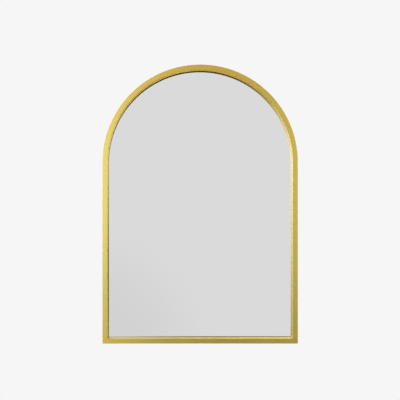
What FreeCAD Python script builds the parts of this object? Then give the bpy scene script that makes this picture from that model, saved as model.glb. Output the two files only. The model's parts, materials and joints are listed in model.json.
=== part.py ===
import FreeCAD, Part
import math
import os
import Sketcher
from FreeCAD import Placement, Rotation, Vector

# Arched wall mirror. A hollow aluminium profile, bent into an arch and closed by a mitred bottom rail,
# holds a silvered pane. A fibre board behind the pane is kept in by turn buttons, and two rings hang
# the mirror on wall hooks.
#
# The origin is the centre of the arch, on the wall plane: it lies midway between the two places where
# the hooks carry the raised rings. X runs along the wall, Y into the wall and Z up, so the mirror looks
# along -Y. Depths are counted from the wall plane towards the viewer, insets from the frame's outer
# edge inwards. All sizes are millimetres or degrees, apart from the counts.

SIZES = {
    # Outline and profile of the frame
    "frame_width": 700,
    "frame_height": 1000,
    "frame_depth": 34,
    "face_width": 18.5,
    "wall_thickness": 1.5,
    "edge_radius": 1.2,
    "recess_depth": 16,
    # Screw port, a slot between two ribs all round the back of the profile
    "port_width": 3,
    "rib_thickness": 1.5,
    "port_clearance": 0.05,
    # Corner keys and their grub screws
    "key_arm": 50,
    "key_clearance": 0.1,
    "grub_diameter": 5,
    "grub_length": 10,
    "grub_distance": 36,
    "grub_clearance": 0.05,
    "access_clearance": 0.25,
    "socket_width": 2.5,
    "socket_depth": 3,
    # Pane and what lies in front of and behind it
    "edge_gap": 2.5,
    "tape_thickness": 0.8,
    "tape_margin": 0.5,
    "tape_setback": 1,
    "glass_thickness": 4,
    "film_thickness": 0.2,
    "film_margin": 3,
    "foam_thickness": 1,
    "foam_width": 25,
    "foam_side_margin": 40,
    "foam_end_margin": 60,
    "foam_count": 5,
    "board_thickness": 3,
    "block_length": 60,
    "block_offset": 110,
    "block_setback": 0.2,
    "spacer_length": 40,
    "low_spacer_height": 220,
    "high_spacer_drop": 150,
    # Turn buttons
    "button_width": 8,
    "button_reach": 20,
    "button_thickness": 1.5,
    "button_float": 0.1,
    "button_rounding": 0.4,
    "swing_clearance": 1,
    "arch_button_angle": 45,
    "bottom_button_offset": 180,
    "low_button_height": 120,
    "high_button_drop": 250,
    # Screws of the turn buttons and hanger plates
    "neck_diameter": 4,
    "pivot_clearance": 0.08,
    "head_diameter": 7.5,
    "head_height": 2.4,
    "head_rounding": 1,
    "screw_tip_gap": 1,
    "cross_length": 4,
    "cross_width": 1,
    "cross_depth": 1.4,
    # Hanger plates and rings
    "plate_thickness": 1.5,
    "plate_margin": 4,
    "plate_reach": 14,
    "plate_shoulder": 8,
    "plate_length": 60,
    "plate_corner": 4,
    "hole_drop": 16,
    "hole_spacing": 34,
    "knuckle_length": 12,
    "knuckle_raise": 0.5,
    "ring_inset": 26,
    "ring_wire": 4,
    "ring_width": 24,
    "ring_length": 22,
    "ring_bend": 4,
    # Wall bumpers
    "bumper_proud": 2,
    "bumper_diameter": 8,
    "bumper_chamfer": 1,
    "stem_gap": 2,
    "bumper_side": 60,
    "arch_bumper_angle": 30,
}

doc = FreeCAD.newDocument("arched_wall_mirror")
sheet = doc.addObject("Spreadsheet::Sheet", "Sizes")
for row, (alias, amount) in enumerate(SIZES.items(), start=1):
    sheet.set(f"A{row}", alias)
    sheet.set(f"B{row}", str(amount))
    sheet.setAlias(f"B{row}", alias)
doc.recompute()

# Extent of the frame, from the origin
HALF = "Sizes.frame_width / 2"
LEG = "(Sizes.frame_height - Sizes.frame_width / 2)"

# Depths from the wall plane, from back to front
FRONT = "(Sizes.bumper_proud + Sizes.frame_depth)"
SKIN = f"({FRONT} - Sizes.wall_thickness)"
GLASS_FRONT = f"({FRONT} - Sizes.recess_depth)"
WEB_REAR = f"({GLASS_FRONT} + Sizes.tape_thickness)"
WEB_FRONT = f"({WEB_REAR} + Sizes.wall_thickness)"
GLASS_REAR = f"({GLASS_FRONT} - Sizes.glass_thickness)"
FILM_REAR = f"({GLASS_REAR} - Sizes.film_thickness)"
BOARD_FRONT = f"({FILM_REAR} - Sizes.foam_thickness)"
SEAT = f"({BOARD_FRONT} - Sizes.board_thickness)"
PORT_DEPTH = f"({WEB_REAR} - {SEAT})"

# Insets from the frame's outer edge
PORT = "(Sizes.wall_thickness + Sizes.swing_clearance + Sizes.button_width / 2)"
SLOT_OUTER = f"({PORT} - Sizes.port_width / 2)"
SLOT_INNER = f"({PORT} + Sizes.port_width / 2)"
RIB_OUTER = f"({SLOT_OUTER} - Sizes.rib_thickness)"
RIB_INNER = f"({SLOT_INNER} + Sizes.rib_thickness)"
PANE = f"({RIB_INNER} + Sizes.edge_gap)"
GRUB = f"(({RIB_INNER} + Sizes.face_width - Sizes.wall_thickness) / 2)"

# Radii shared by the pieces that fit each other
CORE_RADIUS = "(Sizes.port_width / 2 - Sizes.port_clearance)"
PIVOT_RADIUS = "(Sizes.neck_diameter / 2 + Sizes.pivot_clearance)"
BORE_RADIUS = "(Sizes.ring_wire / 2 + Sizes.pivot_clearance)"
KNUCKLE_RADIUS = f"({BORE_RADIUS} + Sizes.plate_thickness + Sizes.knuckle_raise)"

# Height of the ring's hinge: a raised ring hangs on its hook at the height of the origin
HINGE_DROP = "(Sizes.ring_length - Sizes.ring_wire / 2)"

# Lengths of cuts that are centred on their sketch: one passes the whole frame, one only its web
FRAME_CUT = f"3 * {FRONT}"
WEB_CUT = "1.5 * Sizes.wall_thickness"

# How closely an edge has to lie in a plane to count as lying in it
TOLERANCE = 1e-6


def value(expression):
    """The number that a size expression stands for."""
    return float(sheet.evalExpression(expression))


def across(side, inset):
    """X of a point at an inset from the left (side -1) or right (side 1) edge of the frame."""
    return f"{side} * ({HALF} - {inset})"


def above_bottom(inset):
    """Z of a point at an inset from the bottom edge of the frame."""
    return f"{inset} - {LEG}"


def new_body(label):
    body = doc.addObject("PartDesign::Body", label)
    body.Label = label
    return body


def place(body, x="0", y="0", z="0", turn="0"):
    """Turns a body about Y, then moves its origin, all by size expressions."""
    body.Placement = Placement(Vector(), Rotation(Vector(0, 1, 0), value(turn)))
    body.setExpression("Placement.Rotation.Angle", turn)
    for axis, expression in zip("xyz", (x, y, z)):
        body.setExpression(f"Placement.Base.{axis}", expression)
    return body


def new_sketch(body, role, offset="0"):
    """A sketch on one of the body's origin planes, moved along the plane's normal."""
    sketch = body.newObject("Sketcher::SketchObject", f"{body.Label}_sketch")
    plane = next(item for item in body.Origin.OriginFeatures if item.Role == role)
    sketch.AttachmentSupport = [(plane, "")]
    sketch.MapMode = "FlatFace"
    sketch.setExpression("AttachmentOffset.Base.z", offset)
    return sketch


def measure(sketch, kind, expression, *points):
    """Adds a dimension to a sketch and binds it to a size expression."""
    index = sketch.addConstraint(Sketcher.Constraint(kind, *points, value(expression)))
    sketch.setExpression(f"Constraints[{index}]", expression)


def pin(sketch, geometry, end, x, y):
    """Ties a point of a sketch to its two distances from the sketch's origin."""
    for kind, expression, zero_line in (("DistanceX", x, -2), ("DistanceY", y, -1)):
        if expression == "0":
            sketch.addConstraint(Sketcher.Constraint("PointOnObject", geometry, end, zero_line))
        else:
            measure(sketch, kind, expression, -1, 1, geometry, end)


def outline(sketch, corners, rounds=None):
    """Draws a closed outline through corners, each a pair of size expressions.

    rounds gives the radius of each side that is a quarter circle, by the corner where it starts.
    """
    rounds = rounds or {}
    points = [Vector(value(x), value(y)) for x, y in corners]
    middle = sum(points, Vector()) / len(points)
    ends = []
    for index, start in enumerate(points):
        end = points[(index + 1) % len(points)]
        if corners[index] in rounds:
            radius = rounds[corners[index]]
            choices = (Vector(start.x, end.y), Vector(end.x, start.y))
            centre = min(choices, key=lambda choice: choice.distanceToPoint(middle))
            forward = (start - centre).cross(end - centre).z > 0
            first = start if forward else end
            angle = math.atan2(first.y - centre.y, first.x - centre.x)
            circle = Part.Circle(centre, Vector(0, 0, 1), value(radius))
            side = sketch.addGeometry(Part.ArcOfCircle(circle, angle, angle + math.pi / 2))
            measure(sketch, "Radius", radius, side)
            ends.append((side, 1, 2) if forward else (side, 2, 1))
        else:
            ends.append((sketch.addGeometry(Part.LineSegment(start, end)), 1, 2))
    for index, (side, start, end) in enumerate(ends):
        following, following_start, _ = ends[(index + 1) % len(ends)]
        sketch.addConstraint(Sketcher.Constraint("Coincident", side, end, following, following_start))
        pin(sketch, side, start, *corners[index])


def round_hole(sketch, x, y, radius):
    """Draws a circle."""
    circle = Part.Circle(Vector(value(x), value(y)), Vector(0, 0, 1), value(radius))
    index = sketch.addGeometry(circle)
    pin(sketch, index, 3, x, y)
    measure(sketch, "Radius", radius, index)


def arch_outline(sketch, inset):
    """Draws the mirror's arched outline at an inset from the frame's outer edge."""
    radius = f"({HALF} - {inset})"
    half, low = value(radius), value(above_bottom(inset))
    top = sketch.addGeometry(
        Part.ArcOfCircle(Part.Circle(Vector(), Vector(0, 0, 1), half), 0, math.pi)
    )
    left = sketch.addGeometry(Part.LineSegment(Vector(-half, 0), Vector(-half, low)))
    bottom = sketch.addGeometry(Part.LineSegment(Vector(-half, low), Vector(half, low)))
    right = sketch.addGeometry(Part.LineSegment(Vector(half, low), Vector(half, 0)))
    for joint in ((top, 2, left, 1), (left, 2, bottom, 1), (bottom, 2, right, 1), (right, 2, top, 1)):
        sketch.addConstraint(Sketcher.Constraint("Coincident", *joint))
    sketch.addConstraint(Sketcher.Constraint("Coincident", top, 3, -1, 1))
    for end in (1, 2):
        sketch.addConstraint(Sketcher.Constraint("PointOnObject", top, end, -1))
    for leg in (left, right):
        sketch.addConstraint(Sketcher.Constraint("Vertical", leg))
    sketch.addConstraint(Sketcher.Constraint("Horizontal", bottom))
    measure(sketch, "Radius", radius, top)
    measure(sketch, "DistanceY", above_bottom(inset), -1, 1, bottom, 1)


def pad(sketch, length, backwards=False, both_ways=False):
    """Extrudes a sketch of its body along the sketch's normal."""
    feature = sketch.getParentGeoFeatureGroup().newObject("PartDesign::Pad", f"{sketch.Name}_pad")
    feature.Profile = sketch
    feature.Reversed = backwards
    feature.SideType = "Symmetric" if both_ways else "One side"
    feature.setExpression("Length", length)
    return feature


def pocket(sketch, length):
    """Cuts a sketch out of its body, half of the length to each side of the sketch's plane."""
    feature = sketch.getParentGeoFeatureGroup().newObject("PartDesign::Pocket", f"{sketch.Name}_cut")
    feature.Profile = sketch
    feature.SideType = "Symmetric"
    feature.setExpression("Length", length)
    return feature


def revolve(sketch, angle):
    """Turns a sketch about its own vertical axis."""
    body = sketch.getParentGeoFeatureGroup()
    feature = body.newObject("PartDesign::Revolution", f"{sketch.Name}_turn")
    feature.Profile = sketch
    feature.ReferenceAxis = (sketch, ["V_Axis"])
    feature.Angle = angle
    return feature


def edges_along(shape, direction):
    """Names of the straight edges of a shape that run along a direction."""
    return [
        f"Edge{number}"
        for number, edge in enumerate(shape.Edges, start=1)
        if edge.Curve.TypeId == "Part::GeomLine"
        and edge.Curve.Direction.cross(direction).Length < TOLERANCE
    ]


def edges_at_depth(shape, y):
    """Names of the edges of a shape that lie in a plane square to Y."""
    return [
        f"Edge{number}"
        for number, edge in enumerate(shape.Edges, start=1)
        if max(abs(vertex.Y - y) for vertex in edge.Vertexes) < TOLERANCE
    ]


def group(label, bodies):
    """One node of several separate solids."""
    compound = doc.addObject("Part::Compound", label)
    compound.Label = label
    compound.Links = bodies
    return compound


def draw_profile(sketch, point):
    """Draws the frame's cross-section. point turns an inset and a depth into the sketch's X and Y."""
    rounded_front = f"({FRONT} - Sizes.edge_radius)"
    section = [
        ("0", "Sizes.bumper_proud"),
        ("Sizes.wall_thickness", "Sizes.bumper_proud"),
        ("Sizes.wall_thickness", WEB_REAR),
        (RIB_OUTER, WEB_REAR),
        (RIB_OUTER, SEAT),
        (SLOT_OUTER, SEAT),
        (SLOT_OUTER, WEB_REAR),
        (SLOT_INNER, WEB_REAR),
        (SLOT_INNER, SEAT),
        (RIB_INNER, SEAT),
        (RIB_INNER, WEB_REAR),
        ("Sizes.face_width", WEB_REAR),
        ("Sizes.face_width", rounded_front),
        ("(Sizes.face_width - Sizes.edge_radius)", FRONT),
        ("Sizes.edge_radius", FRONT),
        ("0", rounded_front),
    ]
    round_starts = (("Sizes.face_width", rounded_front), ("Sizes.edge_radius", FRONT))
    rounds = {point(*start): "Sizes.edge_radius" for start in round_starts}
    outline(sketch, [point(inset, depth) for inset, depth in section], rounds)
    inner_wall = "(Sizes.face_width - Sizes.wall_thickness)"
    chamber = [
        ("Sizes.wall_thickness", WEB_FRONT),
        (inner_wall, WEB_FRONT),
        (inner_wall, SKIN),
        ("Sizes.wall_thickness", SKIN),
    ]
    outline(sketch, [point(inset, depth) for inset, depth in chamber])


def cut_mitres(body, corner):
    """Cuts both lower ends of a frame piece at 45 degrees. corner is the inset pair of the waste's tip."""
    sketch = new_sketch(body, "XZ_Plane")
    for side in (-1, 1):
        insets = (("0", "0"), ("Sizes.face_width", "Sizes.face_width"), corner)
        outline(sketch, [(across(side, inset), above_bottom(height)) for inset, height in insets])
    return pocket(sketch, FRAME_CUT)


def cut_access_holes(body, places):
    """Drills the web of a frame piece where a driver reaches the grub screws."""
    sketch = new_sketch(body, "XZ_Plane", f"({WEB_REAR} + {WEB_FRONT}) / 2")
    for x, z in places:
        round_hole(sketch, x, z, "Sizes.grub_diameter / 2 + Sizes.access_clearance")
    return pocket(sketch, WEB_CUT)


def leg_grub_places():
    return [(across(side, GRUB), above_bottom("Sizes.grub_distance")) for side in (-1, 1)]


def rail_grub_places():
    return [(across(side, "Sizes.grub_distance"), above_bottom(GRUB)) for side in (-1, 1)]


def frame_arch():
    """The profile bent over the arch, with a straight leg on each side."""
    body = new_body("frame_arch")
    section = new_sketch(body, "XY_Plane")
    draw_profile(section, lambda inset, depth: (across(-1, inset), f"-{depth}"))
    revolve(section, 180)
    leg = pad(section, LEG, backwards=True)
    other_leg = body.newObject("PartDesign::Mirrored", "other_leg")
    other_leg.Originals = [leg]
    other_leg.MirrorPlane = (
        next(item for item in body.Origin.OriginFeatures if item.Role == "YZ_Plane"),
        [""],
    )
    body.Tip = other_leg
    cut_mitres(body, ("Sizes.face_width", "0"))
    cut_access_holes(body, leg_grub_places())
    return body


def frame_bottom_rail():
    """The straight length of the same profile that closes the frame at the bottom."""
    body = new_body("frame_bottom_rail")
    section = new_sketch(body, "YZ_Plane")
    draw_profile(section, lambda inset, depth: (f"-{depth}", above_bottom(inset)))
    pad(section, "Sizes.frame_width", both_ways=True)
    cut_mitres(body, ("0", "Sizes.face_width"))
    cut_access_holes(body, rail_grub_places())
    return body


def corner_key(label, side):
    """An L-shaped key in the hollow of the profile, half in the leg and half in the rail."""
    body = new_body(label)
    near = "Sizes.wall_thickness + Sizes.key_clearance"
    far = "(Sizes.face_width - Sizes.wall_thickness - Sizes.key_clearance)"
    insets = [
        (f"({near})", near),
        ("Sizes.key_arm", near),
        ("Sizes.key_arm", far),
        (far, far),
        (far, "Sizes.key_arm"),
        (f"({near})", "Sizes.key_arm"),
    ]
    sketch = new_sketch(body, "XZ_Plane", f"{WEB_FRONT} + Sizes.key_clearance")
    outline(sketch, [(across(side, inset), above_bottom(height)) for inset, height in insets])
    corner = 0 if side < 0 else 1
    for x, z in (leg_grub_places()[corner], rail_grub_places()[corner]):
        round_hole(sketch, x, z, "Sizes.grub_diameter / 2 + Sizes.grub_clearance")
    pad(sketch, f"{SKIN} - {WEB_FRONT} - 2 * Sizes.key_clearance")
    return body


def grub_screw(label, x, z):
    """A headless screw with a hexagon socket, whose tip presses on the inside of the front face."""
    body = place(new_body(label), x, f"-{SKIN}", z)
    shank = new_sketch(body, "XZ_Plane")
    round_hole(shank, "0", "0", "Sizes.grub_diameter / 2")
    pad(shank, "Sizes.grub_length", backwards=True)
    socket = new_sketch(body, "XZ_Plane", "-Sizes.grub_length")
    flat = "Sizes.socket_width / 2"
    point = "Sizes.socket_width / 2 / cos(30)"
    half_point = "Sizes.socket_width / 4 / cos(30)"
    corners = [
        (point, "0"),
        (half_point, flat),
        (f"-{half_point}", flat),
        (f"-{point}", "0"),
        (f"-{half_point}", f"-{flat}"),
        (half_point, f"-{flat}"),
    ]
    outline(socket, corners)
    pocket(socket, "2 * Sizes.socket_depth")
    return body


def corner_grub_screws():
    places = leg_grub_places() + rail_grub_places()
    return group(
        "corner_grub_screws",
        [grub_screw(f"grub_screw_{number}", x, z) for number, (x, z) in enumerate(places, start=1)],
    )


def glazing_tape():
    """Foam tape all round between the web of the profile and the front of the pane."""
    body = new_body("glazing_tape")
    sketch = new_sketch(body, "XZ_Plane", GLASS_FRONT)
    arch_outline(sketch, f"({PANE} + Sizes.tape_margin)")
    arch_outline(sketch, "(Sizes.face_width - Sizes.tape_setback)")
    pad(sketch, "Sizes.tape_thickness")
    return body


def arched_sheet(label, inset, rear, thickness):
    """A flat sheet with the mirror's arched outline."""
    body = new_body(label)
    sketch = new_sketch(body, "XZ_Plane", rear)
    arch_outline(sketch, inset)
    pad(sketch, thickness)
    return body


def foam_strips():
    """Upright foam strips that press the pane forwards from the board."""
    spread = f"(Sizes.frame_width - 2 * {PANE} - 2 * Sizes.foam_side_margin - Sizes.foam_width)"
    count = int(value("Sizes.foam_count"))
    low = above_bottom(f"({PANE} + Sizes.foam_end_margin)")
    strips = []
    for number in range(count):
        body = new_body(f"foam_strip_{number + 1}")
        sketch = new_sketch(body, "XZ_Plane", BOARD_FRONT)
        middle = f"({spread} * ({number} / (Sizes.foam_count - 1) - 1 / 2))"
        left = f"{middle} - Sizes.foam_width / 2"
        right = f"{middle} + Sizes.foam_width / 2"
        high = "-Sizes.foam_end_margin"
        outline(sketch, [(left, low), (right, low), (right, high), (left, high)])
        pad(sketch, "Sizes.foam_thickness")
        strips.append(body)
    return group("foam_strips", strips)


def rubber_block(label, length_x, length_z, x, z):
    """A rubber block beside the edge of the pane, as deep as the pane and the board behind it."""
    body = place(new_body(label), x, "0", z)
    sketch = new_sketch(body, "XZ_Plane", f"{SEAT} + Sizes.block_setback")
    half_x, half_z = f"{length_x} / 2", f"{length_z} / 2"
    outline(
        sketch,
        [(f"-{half_x}", f"-{half_z}"), (half_x, f"-{half_z}"), (half_x, half_z), (f"-{half_x}", half_z)],
    )
    pad(sketch, f"{GLASS_FRONT} - {SEAT} - Sizes.block_setback")
    return body


def setting_blocks():
    """Two blocks on the bottom rail that carry the weight of the pane."""
    height = above_bottom(f"({RIB_INNER} + {PANE}) / 2")
    blocks = [
        rubber_block(f"setting_block_{name}", "Sizes.block_length", "Sizes.edge_gap",
                     f"{side} * Sizes.block_offset", height)
        for name, side in (("left", -1), ("right", 1))
    ]
    return group("setting_blocks", blocks)


def edge_spacers():
    """Four spacers that keep the pane in the middle between the legs."""
    heights = (
        ("low", above_bottom("Sizes.low_spacer_height")),
        ("high", "-Sizes.high_spacer_drop"),
    )
    spacers = [
        rubber_block(f"edge_spacer_{level}_{name}", "Sizes.edge_gap", "Sizes.spacer_length",
                     across(side, f"({RIB_INNER} + {PANE}) / 2"), z)
        for level, z in heights
        for name, side in (("left", -1), ("right", 1))
    ]
    return group("edge_spacers", spacers)


def button_places():
    """Name, X, Z and turn of each turn button: its finger points into the frame."""
    ring = f"({HALF} - {PORT})"
    low = above_bottom("Sizes.low_button_height")
    high = "-Sizes.high_button_drop"
    places = [
        ("bottom_left", "-Sizes.bottom_button_offset", above_bottom(PORT), "270"),
        ("bottom_right", "Sizes.bottom_button_offset", above_bottom(PORT), "270"),
        ("left_low", across(-1, PORT), low, "0"),
        ("left_high", across(-1, PORT), high, "0"),
        ("right_low", across(1, PORT), low, "180"),
        ("right_high", across(1, PORT), high, "180"),
    ]
    for name, step in (("arch_left", -1), ("arch_top", 0), ("arch_right", 1)):
        angle = f"{step} * Sizes.arch_button_angle"
        places.append((name, f"{ring} * sin({angle})", f"{ring} * cos({angle})", f"90 + {angle}"))
    return places


def turn_button(name, x, z, turn):
    """A flat steel finger that turns on its screw and holds the board in."""
    body = place(new_body(f"turn_button_{name}"), x, f"-{SEAT}", z, turn)
    sketch = new_sketch(body, "XZ_Plane", "-Sizes.button_float")
    half, reach = value("Sizes.button_width / 2"), value("Sizes.button_reach")
    normal = Vector(0, 0, 1)
    quarter = math.pi / 2
    heel = sketch.addGeometry(Part.ArcOfCircle(Part.Circle(Vector(), normal, half), quarter, 3 * quarter))
    low = sketch.addGeometry(Part.LineSegment(Vector(0, -half), Vector(reach, -half)))
    tip_circle = Part.Circle(Vector(reach, 0), normal, half)
    tip = sketch.addGeometry(Part.ArcOfCircle(tip_circle, -quarter, quarter))
    high = sketch.addGeometry(Part.LineSegment(Vector(reach, half), Vector(0, half)))
    for joint in ((heel, 2, low, 1), (low, 2, tip, 1), (tip, 2, high, 1), (high, 2, heel, 1)):
        sketch.addConstraint(Sketcher.Constraint("Tangent", *joint))
    sketch.addConstraint(Sketcher.Constraint("Equal", heel, tip))
    pin(sketch, heel, 3, "0", "0")
    pin(sketch, tip, 3, "Sizes.button_reach", "0")
    measure(sketch, "Radius", "Sizes.button_width / 2", heel)
    round_hole(sketch, "0", "0", PIVOT_RADIUS)
    blank = pad(sketch, "Sizes.button_thickness", backwards=True)
    doc.recompute()
    rounding = body.newObject("PartDesign::Fillet", "button_edge")
    outer_face = value("Sizes.button_float + Sizes.button_thickness")
    rounding.Base = (blank, edges_at_depth(blank.Shape, outer_face))
    rounding.setExpression("Radius", "Sizes.button_rounding")
    return body


def pan_head_screw(label, x, z, grip):
    """A cross-recessed screw in the port, with a smooth neck as long as its grip under the head."""
    body = place(new_body(label), x, f"-{SEAT}", z)
    half = new_sketch(body, "XY_Plane")
    tip = f"-({PORT_DEPTH} - Sizes.screw_tip_gap)"
    top = f"({grip} + Sizes.head_height)"
    neck, head = "Sizes.neck_diameter / 2", "Sizes.head_diameter / 2"
    head_edge = (head, f"{top} - Sizes.head_rounding")
    corners = [
        ("0", tip),
        (CORE_RADIUS, tip),
        (CORE_RADIUS, "0"),
        (neck, "0"),
        (neck, grip),
        (head, grip),
        head_edge,
        (f"{head} - Sizes.head_rounding", top),
        ("0", top),
    ]
    outline(half, corners, {head_edge: "Sizes.head_rounding"})
    revolve(half, 360)
    cross = new_sketch(body, "XZ_Plane", f"-{top}")
    wide, long = "Sizes.cross_width / 2", "Sizes.cross_length / 2"
    steps = [(long, wide), (wide, wide), (wide, long)]
    quadrants = (
        [(x, y) for x, y in steps]
        + [(f"-{x}", y) for x, y in reversed(steps)]
        + [(f"-{x}", f"-{y}") for x, y in steps]
        + [(x, f"-{y}") for x, y in reversed(steps)]
    )
    outline(cross, quadrants)
    pocket(cross, "2 * Sizes.cross_depth")
    return body


def turn_button_screws():
    grip = "(Sizes.button_thickness + 2 * Sizes.button_float)"
    return group(
        "turn_button_screws",
        [pan_head_screw(f"button_screw_{name}", x, z, grip) for name, x, z, _ in button_places()],
    )


def hanger_x(side):
    return across(side, "Sizes.ring_inset")


def hanger_plate(label, side):
    """A steel plate on a leg, with a tab at the top that is rolled into a knuckle for the ring."""
    body = place(new_body(label), hanger_x(side), f"-{SEAT}", f"-{HINGE_DROP}")
    blank = new_sketch(body, "XZ_Plane")
    port_x = f"{side} * (Sizes.ring_inset - {PORT})"
    outer = f"{side} * (Sizes.ring_inset - {PORT} + Sizes.plate_margin)"
    inner = f"{-side} * Sizes.plate_reach"
    tab_outer = f"{side} * Sizes.knuckle_length / 2"
    tab_inner = f"{-side} * Sizes.knuckle_length / 2"
    low, shoulder = "-Sizes.plate_length", "-Sizes.plate_shoulder"
    corners = [
        (outer, low),
        (inner, low),
        (inner, shoulder),
        (tab_inner, shoulder),
        (tab_inner, "0"),
        (tab_outer, "0"),
        (tab_outer, shoulder),
        (outer, shoulder),
    ]
    outline(blank, corners)
    for drop in ("-Sizes.hole_drop", "-(Sizes.hole_drop + Sizes.hole_spacing)"):
        round_hole(blank, port_x, drop, PIVOT_RADIUS)
    plate = pad(blank, "Sizes.plate_thickness", backwards=True)
    doc.recompute()
    rounding = body.newObject("PartDesign::Fillet", "plate_corners")
    widest = (value(outer), value(inner))
    upright = [
        name
        for name in edges_along(plate.Shape, Vector(0, 1, 0))
        if min(abs(plate.Shape.getElement(name).Vertexes[0].X - x) for x in widest) < TOLERANCE
    ]
    rounding.Base = (plate, upright)
    rounding.setExpression("Radius", "Sizes.plate_corner")
    knuckle = new_sketch(body, "YZ_Plane")
    round_hole(knuckle, KNUCKLE_RADIUS, "0", KNUCKLE_RADIUS)
    round_hole(knuckle, KNUCKLE_RADIUS, "0", BORE_RADIUS)
    pad(knuckle, "Sizes.knuckle_length", both_ways=True)
    return body


def hanger_screws():
    screws = []
    for name, side in (("left", -1), ("right", 1)):
        for level, drop in (("high", "Sizes.hole_drop"), ("low", "Sizes.hole_drop + Sizes.hole_spacing")):
            z = f"-({HINGE_DROP} + {drop})"
            label = f"hanger_screw_{level}_{name}"
            screws.append(pan_head_screw(label, across(side, PORT), z, "Sizes.plate_thickness"))
    return group("hanger_screws", screws)


def hanger_ring(label, side):
    """A D-shaped ring of round wire, hanging down from its knuckle."""
    body = place(new_body(label), hanger_x(side), f"{KNUCKLE_RADIUS} - {SEAT}", f"-{HINGE_DROP}")
    path = new_sketch(body, "XZ_Plane")
    half, bend = value("Sizes.ring_width / 2"), value("Sizes.ring_bend")
    bow = value("Sizes.ring_width / 2 - Sizes.ring_length")
    bar_end = half - bend
    normal = Vector(0, 0, 1)
    quarter = math.pi / 2
    bar = path.addGeometry(Part.LineSegment(Vector(-bar_end, 0), Vector(bar_end, 0)))
    right_circle = Part.Circle(Vector(bar_end, -bend), normal, bend)
    right_bend = path.addGeometry(Part.ArcOfCircle(right_circle, 0, quarter))
    right_leg = path.addGeometry(Part.LineSegment(Vector(half, -bend), Vector(half, bow)))
    bow_circle = Part.Circle(Vector(0, bow), normal, half)
    bow_arc = path.addGeometry(Part.ArcOfCircle(bow_circle, 2 * quarter, 4 * quarter))
    left_leg = path.addGeometry(Part.LineSegment(Vector(-half, bow), Vector(-half, -bend)))
    left_circle = Part.Circle(Vector(-bar_end, -bend), normal, bend)
    left_bend = path.addGeometry(Part.ArcOfCircle(left_circle, quarter, 2 * quarter))
    joints = (
        (bar, 2, right_bend, 2),
        (right_bend, 1, right_leg, 1),
        (right_leg, 2, bow_arc, 2),
        (bow_arc, 1, left_leg, 1),
        (left_leg, 2, left_bend, 2),
        (left_bend, 1, bar, 1),
    )
    for joint in joints:
        path.addConstraint(Sketcher.Constraint("Tangent", *joint))
    for end in (1, 2):
        path.addConstraint(Sketcher.Constraint("PointOnObject", bar, end, -1))
    for leg in (left_leg, right_leg):
        path.addConstraint(Sketcher.Constraint("Vertical", leg))
    path.addConstraint(Sketcher.Constraint("Equal", left_bend, right_bend))
    measure(path, "Radius", "Sizes.ring_bend", right_bend)
    measure(path, "Radius", "Sizes.ring_width / 2", bow_arc)
    pin(path, bow_arc, 3, "0", "Sizes.ring_width / 2 - Sizes.ring_length")
    section = new_sketch(body, "YZ_Plane", "Sizes.ring_bend - Sizes.ring_width / 2")
    round_hole(section, "0", "0", "Sizes.ring_wire / 2")
    wire = body.newObject("PartDesign::AdditivePipe", "ring_wire")
    wire.Profile = section
    wire.Spine = (path, [f"Edge{number}" for number in range(1, len(joints) + 1)])
    return body


def wall_bumper(label, x, z):
    """A rubber foot that stands on the ribs, with a stem pushed into the port."""
    body = place(new_body(label), x, f"-{SEAT}", z)
    half = new_sketch(body, "XY_Plane")
    tip = f"-({PORT_DEPTH} - Sizes.stem_gap)"
    side = "Sizes.bumper_diameter / 2"
    corners = [
        ("0", tip),
        (CORE_RADIUS, tip),
        (CORE_RADIUS, "0"),
        (side, "0"),
        (side, f"{SEAT} - Sizes.bumper_chamfer"),
        (f"{side} - Sizes.bumper_chamfer", SEAT),
        ("0", SEAT),
    ]
    outline(half, corners)
    revolve(half, 360)
    return body


def wall_bumpers():
    ring = f"({HALF} - {PORT})"
    places = []
    for side in (-1, 1):
        places.append((across(side, "Sizes.bumper_side"), above_bottom(PORT)))
        angle = f"{side} * Sizes.arch_bumper_angle"
        places.append((f"{ring} * sin({angle})", f"{ring} * cos({angle})"))
    return group(
        "wall_bumpers",
        [wall_bumper(f"wall_bumper_{number}", x, z) for number, (x, z) in enumerate(places, start=1)],
    )


nodes = [
    frame_arch(),
    frame_bottom_rail(),
    corner_key("corner_key_left", -1),
    corner_key("corner_key_right", 1),
    corner_grub_screws(),
    glazing_tape(),
    arched_sheet("mirror_glass", PANE, GLASS_REAR, "Sizes.glass_thickness"),
    arched_sheet("safety_film", f"({PANE} + Sizes.film_margin)", FILM_REAR, "Sizes.film_thickness"),
    foam_strips(),
    arched_sheet("backing_board", PANE, SEAT, "Sizes.board_thickness"),
    setting_blocks(),
    edge_spacers(),
    *(turn_button(*button) for button in button_places()),
    turn_button_screws(),
    hanger_plate("hanger_plate_left", -1),
    hanger_plate("hanger_plate_right", 1),
    hanger_ring("hanger_ring_left", -1),
    hanger_ring("hanger_ring_right", 1),
    hanger_screws(),
    wall_bumpers(),
]
doc.recompute()

failed = [item.Label for item in doc.Objects if {"Invalid", "Error"} & set(item.State)]
if failed:
    raise RuntimeError(f"objects that failed: {failed}")
for node in nodes:
    if node.Shape.isNull() or not node.Shape.isValid():
        raise RuntimeError(f"bad shape: {node.Label}")

os.makedirs("parts", exist_ok=True)
for node in nodes:
    node.Shape.exportStep(f"parts/{node.Label}.step")
    print(node.Label, len(node.Shape.Solids), round(node.Shape.Volume, 1), node.Shape.BoundBox)
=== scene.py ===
# %% [markdown]
# # An arched wall mirror
#
# A satin gold aluminium profile runs round a sheet of mirror glass: up one side, over a half circle,
# down the other side and back along a straight rail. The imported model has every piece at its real
# size, in metres, in the place where it belongs. In this lesson Blender models the pieces that the
# eye rests on again, with finer meshes, and gives every piece its finish.

import json
import math

import bmesh
import bpy
from bmesh.types import BMEdge, BMFace, BMVert
from mathutils import Matrix, Vector


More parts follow.
